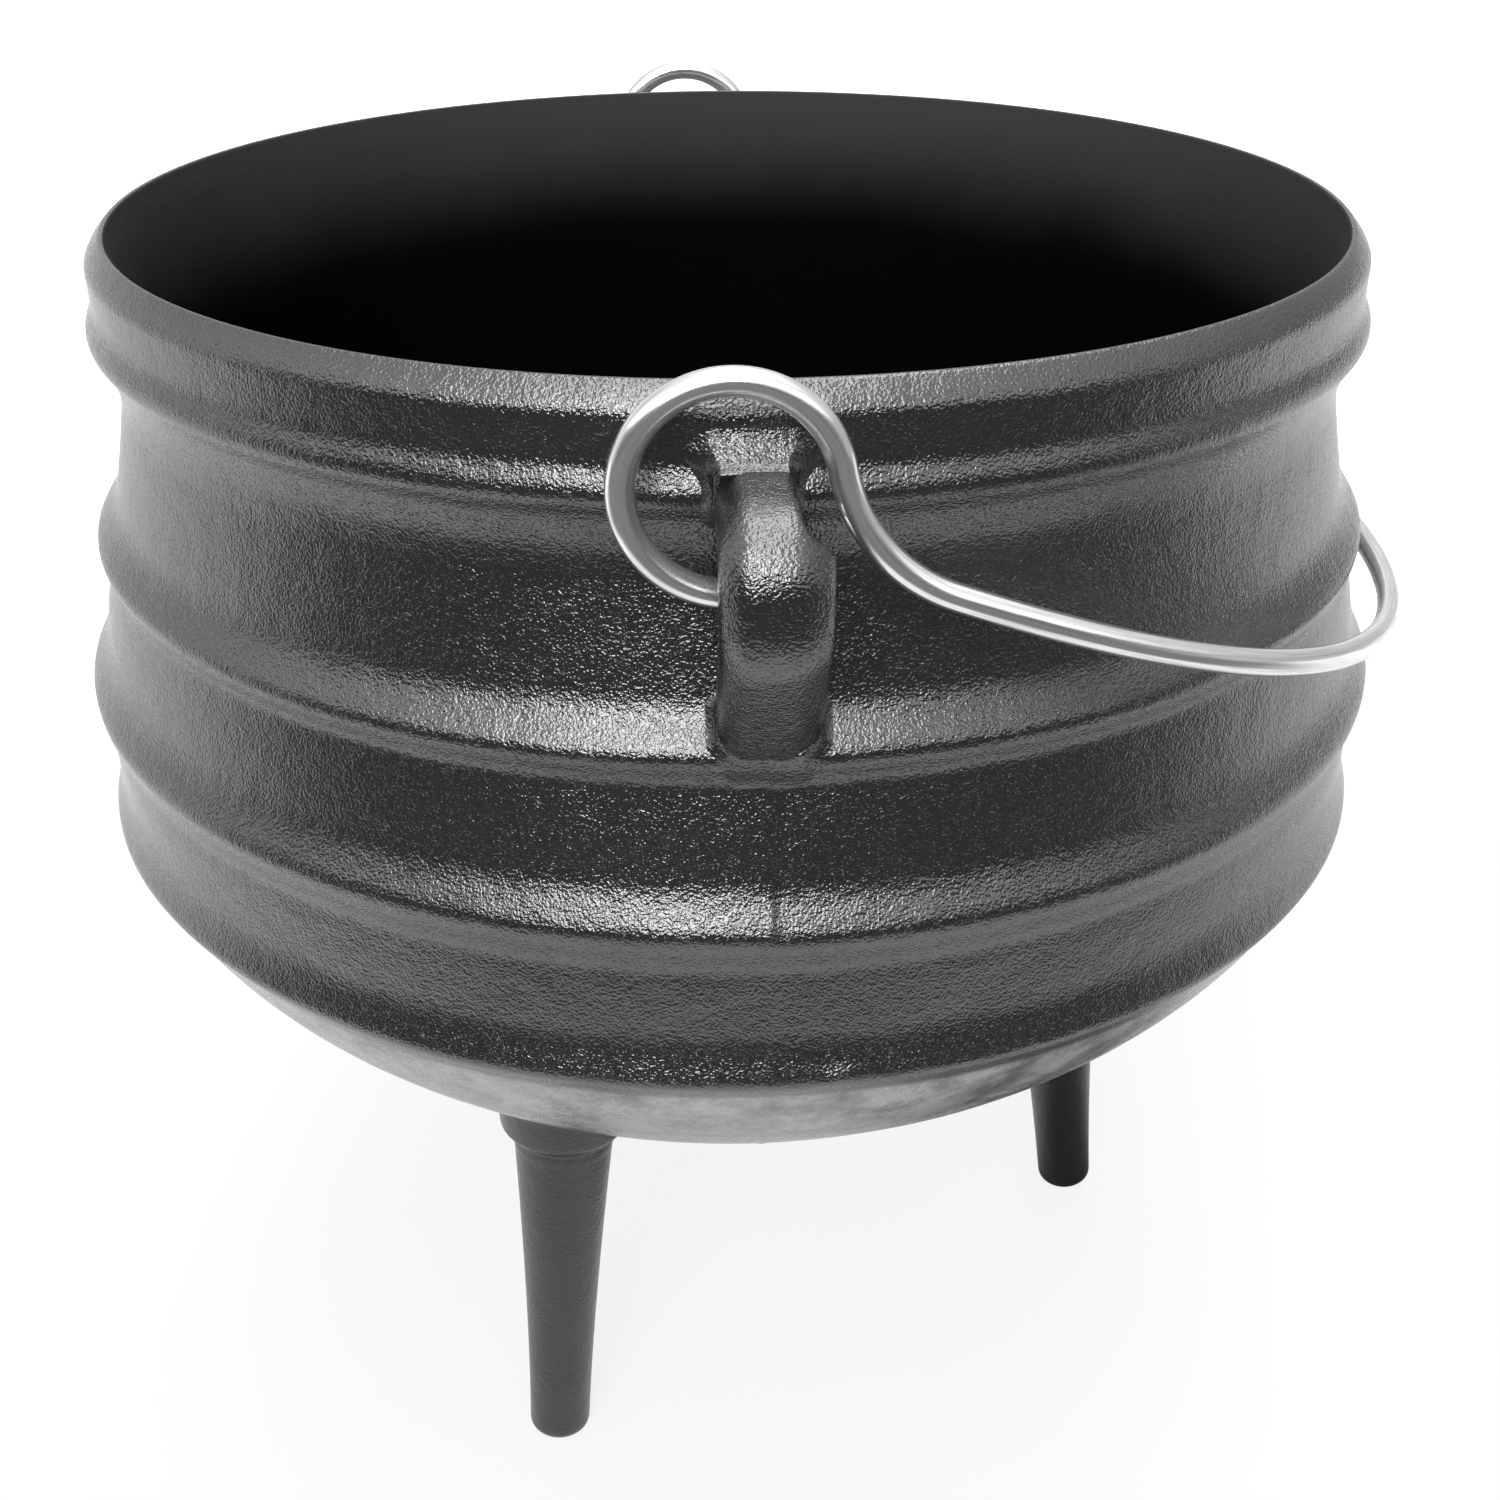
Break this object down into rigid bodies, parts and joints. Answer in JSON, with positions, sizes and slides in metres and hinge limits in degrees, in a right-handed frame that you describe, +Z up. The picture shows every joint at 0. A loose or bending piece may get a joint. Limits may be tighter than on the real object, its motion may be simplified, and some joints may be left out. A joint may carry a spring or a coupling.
{
  "type": "three-legged cooking pot with bail",
  "caption": "Round-bellied cast-iron camp-fire pot on splayed legs, with ribbed sides, a wide open mouth, lug ears and a swinging wire bail.",
  "frame": {"origin": "on the floor under the middle of the pot, at the bottom centre of its bounding box", "axes": "+Z up out of the mouth, -Y towards the front ear, +X towards the right leg and the side where the bail lies"},
  "size_m": [0.2718, 0.3, 0.2655],
  "materials": {
    "black_iron": "sand-cast iron under a satin black coating, grainy, with faint moulding seams",
    "bright_wire": "bright zinc-plated drawn steel wire, smooth, with fine lengthwise drawing marks"
  },
  "bodies": {
    "pot": {"pot_shell": "black_iron", "front_ear": "black_iron", "back_ear": "black_iron", "right_leg": "black_iron", "back_left_leg": "black_iron", "front_left_leg": "black_iron"},
    "bail": {"bail": "bright_wire"}
  },
  "joints": [
    {"name": "bail_swing", "type": "hinge", "parent": "pot", "child": "bail", "pos_m": [-0.0057, 0, 0.2473], "axis": [0, -1, 0], "range_deg": [0, 229]}
  ]
}
